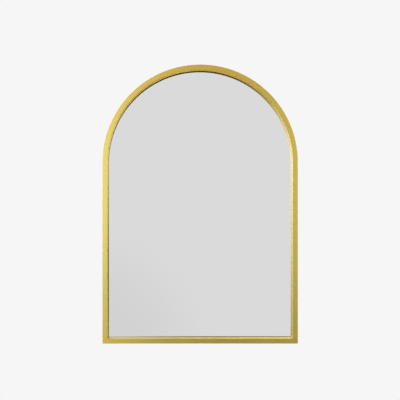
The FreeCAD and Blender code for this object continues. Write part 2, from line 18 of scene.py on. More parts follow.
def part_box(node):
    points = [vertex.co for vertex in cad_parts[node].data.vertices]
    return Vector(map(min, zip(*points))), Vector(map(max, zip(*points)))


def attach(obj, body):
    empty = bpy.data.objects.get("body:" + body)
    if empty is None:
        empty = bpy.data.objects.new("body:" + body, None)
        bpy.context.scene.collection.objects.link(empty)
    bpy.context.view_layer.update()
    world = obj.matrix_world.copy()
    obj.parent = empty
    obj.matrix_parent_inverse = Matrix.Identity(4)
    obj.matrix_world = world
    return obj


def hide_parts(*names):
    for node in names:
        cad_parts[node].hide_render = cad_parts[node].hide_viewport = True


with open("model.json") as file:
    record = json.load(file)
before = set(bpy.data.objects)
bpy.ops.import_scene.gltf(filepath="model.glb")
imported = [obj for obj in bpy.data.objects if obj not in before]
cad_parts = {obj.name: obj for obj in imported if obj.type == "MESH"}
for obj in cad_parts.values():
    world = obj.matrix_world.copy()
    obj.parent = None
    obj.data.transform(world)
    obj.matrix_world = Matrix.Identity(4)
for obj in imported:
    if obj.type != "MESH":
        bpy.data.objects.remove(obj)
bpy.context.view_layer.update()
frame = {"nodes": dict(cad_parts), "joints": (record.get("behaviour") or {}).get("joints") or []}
nodes = frame["nodes"]
print("Pieces in the packed model:", len(nodes))

# %% [markdown]
# ## The sizes that the new meshes share
#
# A mesh that stands for a CAD piece has to lie exactly where that piece lies. So the main sizes are
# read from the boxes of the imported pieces, and only what a box can't tell is written as a number.
# The origin is the centre of the arch, on the wall: X runs along the wall, Y into it and Z up.

# %% Read the main sizes
MM = 0.001
frame_low, frame_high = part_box("frame_arch")
HALF_WIDTH = frame_high.x
BOTTOM = frame_low.z
FRONT = frame_low.y
REAR = frame_high.y
WEB_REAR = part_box("glazing_tape")[0].y
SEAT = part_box("backing_board")[1].y
FACE_WIDTH = 18.5 * MM
WALL = 1.5 * MM
ARCH_STEPS = 144
height = frame_high.z - BOTTOM
print(f"Mirror: {2 * HALF_WIDTH:.3f} m wide, {height:.3f} m tall, {REAR - FRONT:.3f} m deep")

# %% [markdown]
# ## From a bmesh to a piece
#
# Every new piece goes the same way: its bmesh becomes a mesh, an object carries the mesh, and the
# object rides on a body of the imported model. Faces are shaded smooth, with sharp edges kept sharp.
# The Weighted Normal modifier lets large flat faces stay flat right up to a rounded edge.

# %% Turn a bmesh into a piece
SMOOTH_LIMIT = math.radians(40)


def make_piece(bm, name, body, node, finishes):
    """Makes an object from a bmesh, in place of a CAD node, and lets it ride on a body."""
    mesh = bpy.data.meshes.new(name)
    bm.to_mesh(mesh)
    bm.free()
    mesh.shade_smooth()
    mesh.set_sharp_from_angle(angle=SMOOTH_LIMIT)
    for finish in finishes:
        mesh.materials.append(finish)
    piece = bpy.data.objects.new(name, mesh)
    bpy.context.scene.collection.objects.link(piece)
    normals = piece.modifiers.new("flat faces stay flat", "WEIGHTED_NORMAL")
    normals.keep_sharp = True
    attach(piece, body)
    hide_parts(node)
    print(f"{name}: {len(mesh.vertices)} points, {len(mesh.polygons)} faces, stands for {node}")


# %% [markdown]
# ## From nodes to a finish
#
# A finish is a material whose nodes draw its pattern. One function adds a node with its inputs, one
# starts a material, and the others are steps that most finishes share: a noise is the pattern, a ramp
# turns it into colours, a spread into roughness and a bump into relief. A number that is the same all
# over a surface goes straight onto the shader's own socket.


# %% Add shader nodes
def add_node(tree, kind, inputs=None, **settings):
    """Adds one shader node. An input that is given a socket is linked, any other is set."""
    made = tree.nodes.new("ShaderNode" + kind)
    for name, setting in settings.items():
        setattr(made, name, setting)
    for name, source in (inputs or {}).items():
        if isinstance(source, bpy.types.NodeSocket):
            tree.links.new(source, made.inputs[name])
        else:
            made.inputs[name].default_value = source
    return made


def new_finish(name, **constants):
    """A material with one Principled shader, whose constants are set on the shader's own sockets."""
    finish = bpy.data.materials.new(name)
    finish.use_nodes = True
    shader = finish.node_tree.nodes["Principled BSDF"]
    for socket, amount in constants.items():
        shader.inputs[socket.replace("_", " ")].default_value = amount
    return finish, finish.node_tree, shader


def noise(tree, position, patches, detail=3, longer=(1, 1, 1), turn=0):
    """Noise with so many patches per metre, which are turned about Y and longer along some axis."""
    inputs = {"Vector": position, "Rotation": (0, turn, 0), "Scale": longer}
    mapped = add_node(tree, "Mapping", inputs, vector_type="TEXTURE").outputs["Vector"]
    inputs = {"Vector": mapped, "Scale": patches, "Detail": detail}
    return add_node(tree, "TexNoise", inputs).outputs["Fac"]


def spread(tree, fac, low, high, start=0.3, end=0.7):
    """Turns the middle of a noise's range into numbers from low to high."""
    inputs = {"Value": fac, "From Min": start, "From Max": end, "To Min": low, "To Max": high}
    return add_node(tree, "MapRange", inputs).outputs["Result"]


def ramp(tree, fac, colours):
    """A colour ramp with its stops evenly spaced."""
    made = add_node(tree, "ValToRGB", {"Fac": fac})
    stops = made.color_ramp.elements
    while len(stops) < len(colours):
        stops.new(0.5)
    for number, (stop, colour) in enumerate(zip(stops, colours)):
        stop.position = number / (len(colours) - 1)
        stop.color = (*colour, 1)
    return made.outputs["Color"]


def bump(tree, height, distance, strength=1.0):
    """Turns a height from 0 to 1 into relief that is so many metres deep."""
    inputs = {"Height": height, "Distance": distance, "Strength": strength}
    return add_node(tree, "Bump", inputs).outputs["Normal"]


def mix_colours(tree, fac, first, second):
    """Mixes two colours. The Mix node's inputs 6 and 7 and its output 2 are the colour ones."""
    return add_node(tree, "Mix", {"Factor": fac, 6: first, 7: second}, data_type="RGBA").outputs[2]


print("Helpers are ready")

# %% [markdown]
# ## Satin gold
#
# The profile is aluminium that was brushed lengthwise and then anodised gold. Brushing leaves fine
# streaks that follow the profile round the arch, which no straight pattern can do. So each point of
# the new frame meshes stores how far along the profile it lies, its inset from the outer edge and its
# depth, in an attribute named "along", and the streaks are noise that is drawn out along its first axis.

# %% Mix the satin gold
CLOUD_SHARE = 0.5
gold, tree, shader = new_finish("satin_gold", Metallic=1.0)
along = add_node(tree, "Attribute", attribute_name="along").outputs["Vector"]
streaks = noise(tree, along, 2400, detail=4, longer=(80, 1, 1))
clouds = noise(tree, along, 14, detail=2)
streak_gold = ramp(tree, streaks, [(0.74, 0.555, 0.115), (0.80, 0.61, 0.135), (0.86, 0.67, 0.16)])
cloud_gold = ramp(tree, clouds, [(0.775, 0.588, 0.128), (0.825, 0.632, 0.142)])
gold_tones = mix_colours(tree, CLOUD_SHARE, streak_gold, cloud_gold)
tree.links.new(gold_tones, shader.inputs["Base Color"])
tree.links.new(spread(tree, streaks, 0.34, 0.42), shader.inputs["Roughness"])
tree.links.new(bump(tree, streaks, 0.006 * MM), shader.inputs["Normal"])
print("Finish:", gold.name)

# %% [markdown]
# ## The frame's cross-section
#
# The extrusion has a hollow front chamber that takes the corner keys, a thin outer wall that hides
# the glass and the board from the side, and a screw port between two ribs at the back. One closed
# outline of edges draws the outside, a second one the chamber. Everything else grows from these two.

# %% Draw the section
PORT_WALLS = (3.5 * MM, 5 * MM, 8 * MM, 9.5 * MM)
WEB_FRONT = WEB_REAR - WALL
OUTSIDE = [
    (0, REAR),
    (WALL, REAR),
    (WALL, WEB_REAR),
    (PORT_WALLS[0], WEB_REAR),
    (PORT_WALLS[0], SEAT),
    (PORT_WALLS[1], SEAT),
    (PORT_WALLS[1], WEB_REAR),
    (PORT_WALLS[2], WEB_REAR),
    (PORT_WALLS[2], SEAT),
    (PORT_WALLS[3], SEAT),
    (PORT_WALLS[3], WEB_REAR),
    (FACE_WIDTH, WEB_REAR),
    (FACE_WIDTH, FRONT),
    (0, FRONT),
]
CHAMBER = [
    (WALL, WEB_FRONT),
    (FACE_WIDTH - WALL, WEB_FRONT),
    (FACE_WIDTH - WALL, FRONT + WALL),
    (WALL, FRONT + WALL),
]


def only(kind, items):
    """Keeps the points, the edges or the faces among the items that an operator returns."""
    return [item for item in items if isinstance(item, kind)]


def section_loop(bm, corners, place):
    """Draws a closed outline of edges. place turns an inset and a depth into a point."""
    points = [bm.verts.new(place(inset, y)) for inset, y in corners]
    edges = [bm.edges.new(pair) for pair in zip(points, points[1:] + points[:1])]
    return points, edges


def extrude_loop(bm, edges):
    """Extrudes a loop of edges in place and returns the new points and edges."""
    grown = bmesh.ops.extrude_edge_only(bm, edges=edges)["geom"]
    points = only(BMVert, grown)
    new_edges = [edge for edge in only(BMEdge, grown) if set(edge.verts) <= set(points)]
    return points, new_edges


print("Corners of the section:", len(OUTSIDE), "outside and", len(CHAMBER), "in the chamber")

# %% [markdown]
# ## Rounding the edges and closing the ends
#
# A drawn profile has soft edges: the two front ones are rounded enough to catch a line of light, the
# others are only broken. The bevel operator does both once the profile has its length, and the angle
# between neighbouring faces finds the edges. Each end slants at 45 degrees and is closed by a fill that
# leaves the chamber open as a hole. A hair's breadth stays between two mitred ends.
#
# Near each corner a hole in the web lets a driver reach the corner key's screws before the glass goes
# in. The web has a face on either side: each is filled again round a circle, and the two circles are
# bridged to make the wall of the hole.

# %% Drill a hole through the web
ACCESS_RADIUS = 2.75 * MM
ACCESS_INSET = (PORT_WALLS[3] + FACE_WIDTH - WALL) / 2
ACCESS_DISTANCE = 36 * MM
HOLE_SIDES = 32


def draw_hole(bm, x, y, z, radius):
    """Draws a circle that faces the wall and returns its edges."""
    upright = Matrix.Translation((x, y, z)) @ Matrix.Rotation(math.radians(90), 4, "X")
    points = bmesh.ops.create_circle(bm, radius=radius, segments=HOLE_SIDES, matrix=upright)["verts"]
    return list({edge for v in points for edge in v.link_edges})


def lies_at(item, y, tolerance):
    """Tells whether all points of an edge or a face lie at a depth of y."""
    return all(abs(v.co.y - y) < tolerance for v in item.verts)


def drill_web(bm, x, z):
    """Cuts a round hole through the web of a profile."""
    rims = []
    for y in (WEB_FRONT, WEB_REAR):
        centre = Vector((x, y, z))
        level = [f for f in bm.faces if lies_at(f, y, WALL / 10)]
        face = next(f for f in level if bmesh.geometry.intersect_face_point(f, centre))
        outline = face.edges[:]
        bmesh.ops.delete(bm, geom=[face], context="FACES_ONLY")
        rim = draw_hole(bm, *centre, ACCESS_RADIUS)
        bmesh.ops.triangle_fill(bm, use_beauty=True, edges=outline + rim)
        rims += rim
    bmesh.ops.bridge_loops(bm, edges=rims)


print("Access holes are", 2 * ACCESS_RADIUS / MM, "mm wide")

# %% Finish a length of profile
FRONT_ROUNDING = 1.2 * MM
FRONT_SEGMENTS = 6
EDGE_BREAK = 0.15 * MM
BREAK_SEGMENTS = 2
MITRE_GAP = 0.05 * MM
CORNER_ANGLE = math.radians(60)


def round_edges(bm, edges, radius, segments, affect="EDGES"):
    """Rounds edges, or the corners of a flat outline."""
    bmesh.ops.bevel(
        bm,
        geom=edges,
        offset=radius,
        affect=affect,
        segments=segments,
        profile=0.5,
        material=-1,
    )


def corner_edges(bm):
    """Finds the edges where two faces meet at a sharp angle."""
    return [e for e in bm.edges if e.is_manifold and e.calc_face_angle() > CORNER_ANGLE]


def finish_profile(bm, holes, path):
    """Rounds the edges, closes the ends, drills, and stores where each point lies along the profile."""
    bmesh.ops.recalc_face_normals(bm, faces=bm.faces)
    front_edges = [e for e in corner_edges(bm) if lies_at(e, FRONT, EDGE_BREAK / 2)]
    round_edges(bm, front_edges, FRONT_ROUNDING, FRONT_SEGMENTS)
    middle_of_web = WEB_FRONT + WALL / 2
    back_edges = [e for e in corner_edges(bm) if all(v.co.y > middle_of_web for v in e.verts)]
    round_edges(bm, back_edges, EDGE_BREAK, BREAK_SEGMENTS)
    for side in (-1, 1):
        rim = [e for e in bm.edges if e.is_boundary and all(side * v.co.x > 0 for v in e.verts)]
        bmesh.ops.triangle_fill(bm, use_beauty=True, edges=rim)
    for x, z in holes:
        drill_web(bm, x, z)
    bmesh.ops.recalc_face_normals(bm, faces=bm.faces)
    layer = bm.verts.layers.float_vector.new("along")
    for v in bm.verts:
        v[layer] = path(v.co)


print("A front edge is rounded to", FRONT_ROUNDING / MM, "mm")

# %% [markdown]
# ## The arch and its two legs
#
# The section stands at the left end of the half circle. Spin turns it over the top to the right end,
# and an extrusion of each end makes the legs. Each point of a leg's foot goes up by its own inset,
# so the foot comes out as a 45 degree mitre with no cut.


# %% Spin the arch
def at_arch_start(inset, y):
    """Places a point of the section at the left end of the half circle."""
    return inset - HALF_WIDTH, y, 0


bm = bmesh.new()
for corners in (OUTSIDE, CHAMBER):
    points, edges = section_loop(bm, corners, at_arch_start)
    spun = bmesh.ops.spin(
        bm, geom=points + edges, cent=(0, 0, 0), axis=(0, 1, 0), angle=math.pi, steps=ARCH_STEPS
    )
    far_edges = only(BMEdge, spun["geom_last"])
    for end_edges in (edges, far_edges):
        foot, _ = extrude_loop(bm, end_edges)
        for v in foot:
            v.co.z = BOTTOM + HALF_WIDTH - abs(v.co.x) + MITRE_GAP
print("Arch and legs:", len(bm.faces), "faces")


# %% Finish the arch
def arch_path(co):
    """How far along the arch a point lies, from its left end, then its inset and its depth."""
    if co.z < 0:
        length = co.z if co.x < 0 else math.pi * HALF_WIDTH - co.z
        return length, HALF_WIDTH - abs(co.x), co.y
    length = math.atan2(co.z, -co.x) * HALF_WIDTH
    return length, HALF_WIDTH - math.hypot(co.x, co.z), co.y


leg_holes = [(side * (HALF_WIDTH - ACCESS_INSET), BOTTOM + ACCESS_DISTANCE) for side in (-1, 1)]
finish_profile(bm, leg_holes, arch_path)
make_piece(bm, "arch_and_legs", "mirror", "frame_arch", [gold])

# %% [markdown]
# ## The bottom rail
#
# The rail is the same section run straight across. One loop is drawn on the left mitre and extruded,
# and the new loop is reflected to the right mitre.


# %% Extrude the rail
def on_left_mitre(inset, y):
    """Places a point of the section on the slanting left end of the rail."""
    return inset + MITRE_GAP - HALF_WIDTH, y, BOTTOM + inset


def rail_path(co):
    """How far along the rail a point lies, from its middle, then its inset and its depth."""
    return co.x, co.z - BOTTOM, co.y


bm = bmesh.new()
for corners in (OUTSIDE, CHAMBER):
    points, edges = section_loop(bm, corners, on_left_mitre)
    far_points, _ = extrude_loop(bm, edges)
    for v in far_points:
        v.co.x = -v.co.x
rail_holes = [(side * (HALF_WIDTH - ACCESS_DISTANCE), BOTTOM + ACCESS_INSET) for side in (-1, 1)]
finish_profile(bm, rail_holes, rail_path)
make_piece(bm, "bottom_rail", "mirror", "frame_bottom_rail", [gold])

# %% [markdown]
# ## Mirror glass
#
# The pane is 4 mm float glass with silver on it. Seen from the front it is a perfect mirror, so the
# shader is a metal with no roughness at all, and only a faint wide haze varies its colour. Real silver
# lies behind the glass. Here it is the front face, so that the pane is a mirror in any renderer. The
# ground edge and the painted back are finishes of their own.

# %% Mix the finishes of the pane
silver, tree, shader = new_finish("mirror_silver", Metallic=1.0, Roughness=0.0)
place = add_node(tree, "TexCoord").outputs["Object"]
haze = noise(tree, place, 6, detail=3)
silver_tones = [(0.940, 0.948, 0.945), (0.952, 0.958, 0.955)]
tree.links.new(ramp(tree, haze, silver_tones), shader.inputs["Base Color"])

ground_edge, tree, shader = new_finish("ground_glass_edge", Transmission_Weight=0.3, IOR=1.52)
place = add_node(tree, "TexCoord").outputs["Object"]
grinding = noise(tree, place, 1800, detail=2)
edge_tones = [(0.18, 0.34, 0.28), (0.36, 0.52, 0.45)]
tree.links.new(ramp(tree, grinding, edge_tones), shader.inputs["Base Color"])
tree.links.new(spread(tree, grinding, 0.35, 0.6), shader.inputs["Roughness"])

back_paint, tree, shader = new_finish("mirror_back_paint")
place = add_node(tree, "TexCoord").outputs["Object"]
curtain = noise(tree, place, 160, detail=3, longer=(1, 1, 20))
paint_tones = [(0.10, 0.13, 0.14), (0.15, 0.18, 0.19)]
tree.links.new(ramp(tree, curtain, paint_tones), shader.inputs["Base Color"])
tree.links.new(spread(tree, curtain, 0.4, 0.6), shader.inputs["Roughness"])
print("Finishes of the pane:", silver.name, ground_edge.name, back_paint.name)

# %% [markdown]
# ## Arched sheets
#
# The pane and the backing board are both flat sheets with a round top. A spin of one point draws the
# half circle, three edges close the outline, a fill makes it a face and an extrusion gives it its
# thickness. A small bevel is the ground arris of the glass, or the sanded edge of the board.

# %% Make the pane
PANE_ARRIS = 0.6 * MM
ARRIS_SEGMENTS = 2


def arched_sheet(node, arris):
    """An arched sheet that fills a CAD node's box, with finishes for its front, edge and rear."""
    low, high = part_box(node)
    bm = bmesh.new()
    start = bm.verts.new((low.x, low.y, 0))
    spun = bmesh.ops.spin(
        bm, geom=[start], cent=(0, 0, 0), axis=(0, 1, 0), angle=math.pi, steps=ARCH_STEPS
    )
    end = only(BMVert, spun["geom_last"])[0]
    feet = [bm.verts.new((x, low.y, low.z)) for x in (high.x, low.x)]
    for pair in ((end, feet[0]), feet, (feet[1], start)):
        bm.edges.new(pair)
    face = bmesh.ops.edgeloop_fill(bm, edges=bm.edges)["faces"][0]
    grown = bmesh.ops.extrude_face_region(bm, geom=[face])["geom"]
    rear = only(BMVert, grown)
    bmesh.ops.translate(bm, verts=rear, vec=(0, high.y - low.y, 0))
    bmesh.ops.recalc_face_normals(bm, faces=bm.faces)
    rims = [e for e in corner_edges(bm) if abs(e.verts[0].co.y - e.verts[1].co.y) < arris]
    round_edges(bm, rims, arris, ARRIS_SEGMENTS)
    for face in bm.faces:
        face.material_index = round(face.normal.y) + 1
    return bm


bm = arched_sheet("mirror_glass", PANE_ARRIS)
pane_finishes = [silver, ground_edge, back_paint]
make_piece(bm, "mirror_pane", "mirror", "mirror_glass", pane_finishes)

# %% [markdown]
# ## Fibre board
#
# The back is closed by hardboard: wood fibres pressed to a sheet. Up close it is a felt of short
# fibres that lie every way, so the finish adds up long thin noises that are turned to different
# directions. Wide soft clouds and a few dark flecks of bark keep the large sheet from looking printed.

# %% Mix the board's finishes
FIBRE_TURNS = (12, 71, 133)
BARK_SHADES = (0.4, 0.6)


def fibre_finish(name, dark, light):
    """A felt of fibres between a dark and a light brown, with flecks of bark."""
    finish, tree, shader = new_finish(name)
    place = add_node(tree, "TexCoord").outputs["Object"]
    felt = noise(tree, place, 45, detail=4)
    for turn in FIBRE_TURNS:
        fibres = noise(tree, place, 2000, detail=2, longer=(9, 1, 1), turn=math.radians(turn))
        felt = add_node(tree, "Math", {0: felt, 1: fibres}, operation="ADD").outputs["Value"]
    tone = spread(tree, felt, 0, 1, 1.5, 2.5)
    body = ramp(tree, tone, [dark, light])
    flecks = spread(tree, noise(tree, place, 420, detail=2), 0, 0.6, 0.68, 0.76)
    bark = ramp(tree, tone, [tuple(shade * part for part in dark) for shade in BARK_SHADES])
    tree.links.new(mix_colours(tree, flecks, body, bark), shader.inputs["Base Color"])
    tree.links.new(spread(tree, tone, 0.6, 0.8, 0, 1), shader.inputs["Roughness"])
    tree.links.new(bump(tree, felt, 0.04 * MM, 0.6), shader.inputs["Normal"])
    return finish


board_face = fibre_finish("fibre_board_face", (0.23, 0.125, 0.055), (0.36, 0.215, 0.105))
board_edge = fibre_finish("fibre_board_edge", (0.17, 0.09, 0.04), (0.27, 0.155, 0.075))
print("Finishes of the board:", board_face.name, board_edge.name)

# %% Make the board
BOARD_ARRIS = 0.3 * MM
bm = arched_sheet("backing_board", BOARD_ARRIS)
board_finishes = [board_face, board_edge, board_face]
make_piece(bm, "back_board", "mirror", "backing_board", board_finishes)

# %% [markdown]
# ## Zinc-plated steel
#
# Turn buttons, hanger plates, rings and screws are pressed or drawn from steel and then zinc plated:
# a bright, slightly blue grey that is cloudy up close, with fine tumbling scratches. The CAD shapes of
# the screws are right as they are, so the screws only get this finish. The rest is modelled again.

# %% Mix the zinc
zinc, tree, shader = new_finish("zinc_plate", Metallic=1.0)
place = add_node(tree, "TexCoord").outputs["Object"]
bloom = noise(tree, place, 260, detail=4)
scratches = noise(tree, place, 2600, detail=2, longer=(1, 1, 12))
zinc_tones = [(0.61, 0.63, 0.66), (0.66, 0.68, 0.70), (0.67, 0.67, 0.65)]
tree.links.new(ramp(tree, bloom, zinc_tones), shader.inputs["Base Color"])
tree.links.new(spread(tree, bloom, 0.30, 0.36), shader.inputs["Roughness"])
tree.links.new(bump(tree, scratches, 0.01 * MM, 0.5), shader.inputs["Normal"])
print("Finish:", zinc.name)

# %% [markdown]
# ## Turn buttons
#
# A turn button is a short finger, punched from steel strip and tumbled until its edges are soft. It
# turns on its screw and holds the board in. Two half circles and two straight edges draw it, a circle
# is its hole, and one fill makes the face and leaves the hole open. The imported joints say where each
# screw is, and the middle of a button's box says which way the button points.

# %% Fill and thicken a drawn outline
SCREW_HOLE = 2.08 * MM


def thicken(bm, thickness):
    """Fills the drawn outlines, with the holes left open, and gives the plate its thickness."""
    filled = bmesh.ops.triangle_fill(bm, use_beauty=True, edges=bm.edges)["geom"]
    grown = bmesh.ops.extrude_face_region(bm, geom=only(BMFace, filled))["geom"]
    rear = only(BMVert, grown)
    bmesh.ops.translate(bm, verts=rear, vec=(0, thickness, 0))
    bmesh.ops.recalc_face_normals(bm, faces=bm.faces)


print("A screw hole is", 2 * SCREW_HOLE / MM, "mm wide")

# %% Punch the turn buttons
BUTTON_RADIUS = 4 * MM
BUTTON_END_STEPS = 20
TUMBLED = 0.3 * MM
TUMBLED_SEGMENTS = 3
pivots = {joint["child"]: Vector(joint["pos_m"]) for joint in frame["joints"]}


def round_end(bm, x, z):
    """Spins a point half a turn about a button's centre line and returns the two ends of its path."""
    first = bm.verts.new((x, 0, z))
    spun = bmesh.ops.spin(
        bm, geom=[first], cent=(x, 0, 0), axis=(0, 1, 0), angle=math.pi, steps=BUTTON_END_STEPS
    )
    return first, only(BMVert, spun["geom_last"])[0]


def turn_button(node):
    """A bmesh of a turn button in the place of its CAD node."""
    low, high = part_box(node)
    screw = pivots[node]
    pointing = (low + high) / 2 - screw
    reach = 2 * math.hypot(pointing.x, pointing.z)
    bm = bmesh.new()
    heel_low, heel_high = round_end(bm, 0, -BUTTON_RADIUS)
    tip_high, tip_low = round_end(bm, reach, BUTTON_RADIUS)
    bm.edges.new((heel_high, tip_high))
    bm.edges.new((tip_low, heel_low))
    draw_hole(bm, 0, 0, 0, SCREW_HOLE)
    thicken(bm, high.y - low.y)
    round_edges(bm, corner_edges(bm), TUMBLED, TUMBLED_SEGMENTS)
    turn = Matrix.Rotation(math.atan2(-pointing.z, pointing.x), 3, "Y")
    bmesh.ops.rotate(bm, verts=bm.verts, cent=(0, 0, 0), matrix=turn)
    bmesh.ops.translate(bm, verts=bm.verts, vec=(screw.x, low.y, screw.z))
    return bm


for node in pivots:
    if node.startswith("turn_button"):
        make_piece(turn_button(node), node.removeprefix("turn_"), node, node, [zinc])

# %% [markdown]
# ## Hanger plates
#
# A hanger plate is cut from the same kind of strip, with two holes over the screw port of a leg. The
# tab at its top is rolled into an eye for the ring, and the model does what the press does: the end
# face of the tab is spun about the ring's axis, not quite once round, so the slit of the roll shows.

# %% Roll the hanger plates
PLATE_THICKNESS = 1.5 * MM
PLATE_CORNER = 4 * MM
PLATE_CORNER_SEGMENTS = 8
SHOULDER_DROP = 8 * MM
TAB_HALF_WIDTH = 6 * MM
HOLE_DROPS = (16 * MM, 50 * MM)
PORT_INSET = (PORT_WALLS[1] + PORT_WALLS[2]) / 2
ROLL_TURN = math.radians(-300)
ROLL_STEPS = 30


def hanger_plate(node, bar):
    """A bmesh of a hanger plate whose tab is rolled about the bar of its ring."""
    low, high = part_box(node)
    left = bar.x - TAB_HALF_WIDTH
    right = bar.x + TAB_HALF_WIDTH
    shoulder = bar.z - SHOULDER_DROP
    outline = [
        (low.x, low.z),
        (high.x, low.z),
        (high.x, shoulder),
        (right, shoulder),
        (right, bar.z),
        (left, bar.z),
        (left, shoulder),
        (low.x, shoulder),
    ]
    bm = bmesh.new()
    blank = bm.faces.new([bm.verts.new((x, 0, z)) for x, z in outline])
    # The four outer corners are rounded, those of the tab stay square.
    corners = [v for v in blank.verts if abs(v.co.x - bar.x) > 1.5 * TAB_HALF_WIDTH]
    round_edges(bm, corners, PLATE_CORNER, PLATE_CORNER_SEGMENTS, affect="VERTICES")
    bmesh.ops.delete(bm, geom=bm.faces[:], context="FACES_ONLY")
    for drop in HOLE_DROPS:
        draw_hole(bm, math.copysign(HALF_WIDTH - PORT_INSET, bar.x), 0, bar.z - drop, SCREW_HOLE)
    thicken(bm, PLATE_THICKNESS)
    bmesh.ops.translate(bm, verts=bm.verts, vec=(0, low.y, 0))
    tab_end = max(bm.faces, key=lambda face: face.calc_center_median().z)
    bmesh.ops.spin(
        bm,
        geom=[tab_end, *tab_end.edges, *tab_end.verts],
        cent=bar,
        axis=(1, 0, 0),
        angle=ROLL_TURN,
        steps=ROLL_STEPS,
    )
    bmesh.ops.recalc_face_normals(bm, faces=bm.faces)
    round_edges(bm, corner_edges(bm), TUMBLED, TUMBLED_SEGMENTS)
    return bm


for side in ("left", "right"):
    node = "hanger_plate_" + side
    bm = hanger_plate(node, pivots["hanger_ring_" + side])
    make_piece(bm, "rolled_plate_" + side, "mirror", node, [zinc])

# %% [markdown]
# ## Hanger rings
#
# Each ring is a piece of round wire, bent to the shape of a D with its bar in the eye of the plate. A
# circle is the wire's section. Extruding it runs the wire straight on and spinning it makes a bend.
# After three bends it is back at its start, where the two ends are merged.

# %% Bend the hanger rings
WIRE_RADIUS = 2 * MM
WIRE_SIDES = 24
RING_BEND = 4 * MM
BEND_STEPS = 10


def run_wire(bm, edges, way):
    """Runs the wire straight on."""
    points, new_edges = extrude_loop(bm, edges)
    bmesh.ops.translate(bm, verts=points, vec=way)
    return new_edges


def bend_wire(bm, edges, centre, quarters):
    """Bends the wire about a centre, by a number of quarter turns."""
    section = {v for edge in edges for v in edge.verts}
    spun = bmesh.ops.spin(
        bm,
        geom=[*section, *edges],
        cent=centre,
        axis=(0, 1, 0),
        angle=quarters * math.pi / 2,
        steps=quarters * BEND_STEPS,
    )
    return only(BMEdge, spun["geom_last"])


def hanger_ring(node):
    """A bmesh of a ring that hangs down from its bar."""
    low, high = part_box(node)
    bar = pivots[node]
    bow_radius = (high.x - low.x) / 2 - WIRE_RADIUS
    bar_end = bow_radius - RING_BEND
    bow_height = low.z + WIRE_RADIUS + bow_radius - bar.z
    leg = bow_height + RING_BEND
    bm = bmesh.new()
    across = Matrix.Translation((-bar_end, 0, 0)) @ Matrix.Rotation(math.radians(90), 4, "Y")
    bmesh.ops.create_circle(bm, radius=WIRE_RADIUS, segments=WIRE_SIDES, matrix=across)
    end = run_wire(bm, bm.edges[:], (2 * bar_end, 0, 0))
    end = bend_wire(bm, end, (bar_end, 0, -RING_BEND), 1)
    end = run_wire(bm, end, (0, 0, leg))
    end = bend_wire(bm, end, (0, 0, bow_height), 2)
    end = run_wire(bm, end, (0, 0, -leg))
    bend_wire(bm, end, (-bar_end, 0, -RING_BEND), 1)
    bmesh.ops.remove_doubles(bm, verts=bm.verts, dist=WIRE_RADIUS / 100)
    bmesh.ops.recalc_face_normals(bm, faces=bm.faces)
    bmesh.ops.translate(bm, verts=bm.verts, vec=bar)
    return bm


for side in ("left", "right"):
    node = "hanger_ring_" + side
    make_piece(hanger_ring(node), "wire_ring_" + side, node, node, [zinc])

# %% [markdown]
# ## Rubber, foam, film and the hidden metal
#
# The bumpers, blocks and spacers are black rubber, the glazing tape is black foam and the strips
# behind the film are white foam. Most of this hides inside the frame, but the model can be taken
# apart, so each piece still gets a finish of its own. One function makes them all: a fine grain, wide
# clouds in it and a little relief.

# %% Mix the grainy finishes
CLOUD_SCALE = 0.08
RELIEF = 0.6


def grainy_finish(name, dark, light, grain, roughness, depth, **constants):
    """A finish whose grain has a size in metres, a range of roughness and a depth in metres."""
    finish, tree, shader = new_finish(name, **constants)
    place = add_node(tree, "TexCoord").outputs["Object"]
    fine = noise(tree, place, 1 / grain, detail=3)
    wide = noise(tree, place, CLOUD_SCALE / grain, detail=2)
    both = add_node(tree, "Math", {0: fine, 1: wide}, operation="ADD").outputs["Value"]
    tone = spread(tree, both, 0, 1, 0.75, 1.25)
    tree.links.new(ramp(tree, tone, [dark, light]), shader.inputs["Base Color"])
    tree.links.new(spread(tree, fine, *roughness), shader.inputs["Roughness"])
    tree.links.new(bump(tree, fine, depth, RELIEF), shader.inputs["Normal"])
    return finish


rubber = grainy_finish(
    "black_rubber", (0.012, 0.012, 0.013), (0.035, 0.034, 0.033), 0.6 * MM, (0.55, 0.8), 0.05 * MM
)
tape_foam = grainy_finish(
    "black_foam", (0.010, 0.010, 0.011), (0.045, 0.045, 0.046), 0.4 * MM, (0.8, 0.95), 0.1 * MM
)
pale_foam = grainy_finish(
    "white_foam", (0.66, 0.66, 0.64), (0.84, 0.84, 0.82), 0.5 * MM, (0.8, 0.95), 0.12 * MM
)
film = grainy_finish(
    "safety_film", (0.70, 0.72, 0.73), (0.82, 0.83, 0.84), 1.2 * MM, (0.3, 0.5), 0.02 * MM
)
cast_metal = grainy_finish(
    "cast_aluminium",
    (0.50, 0.51, 0.52),
    (0.68, 0.68, 0.69),
    0.8 * MM,
    (0.4, 0.6),
    0.04 * MM,
    Metallic=1.0,
)
black_steel = grainy_finish(
    "black_oxide_steel",
    (0.03, 0.03, 0.034),
    (0.075, 0.074, 0.078),
    0.3 * MM,
    (0.3, 0.5),
    0.01 * MM,
    Metallic=1.0,
)
grainy = (rubber, tape_foam, pale_foam, film, cast_metal, black_steel)
print("Grainy finishes:", ", ".join(finish.name for finish in grainy))

# %% [markdown]
# ## Wall bumpers
#
# Four moulded rubber feet keep the steel off the wall. Each has a stem that is pushed into the screw
# port: two in the rail and two in the arch. A few points draw half of its section, a full spin turns
# them about the foot's own axis, and a bevel rounds the rim that rests on the wall.

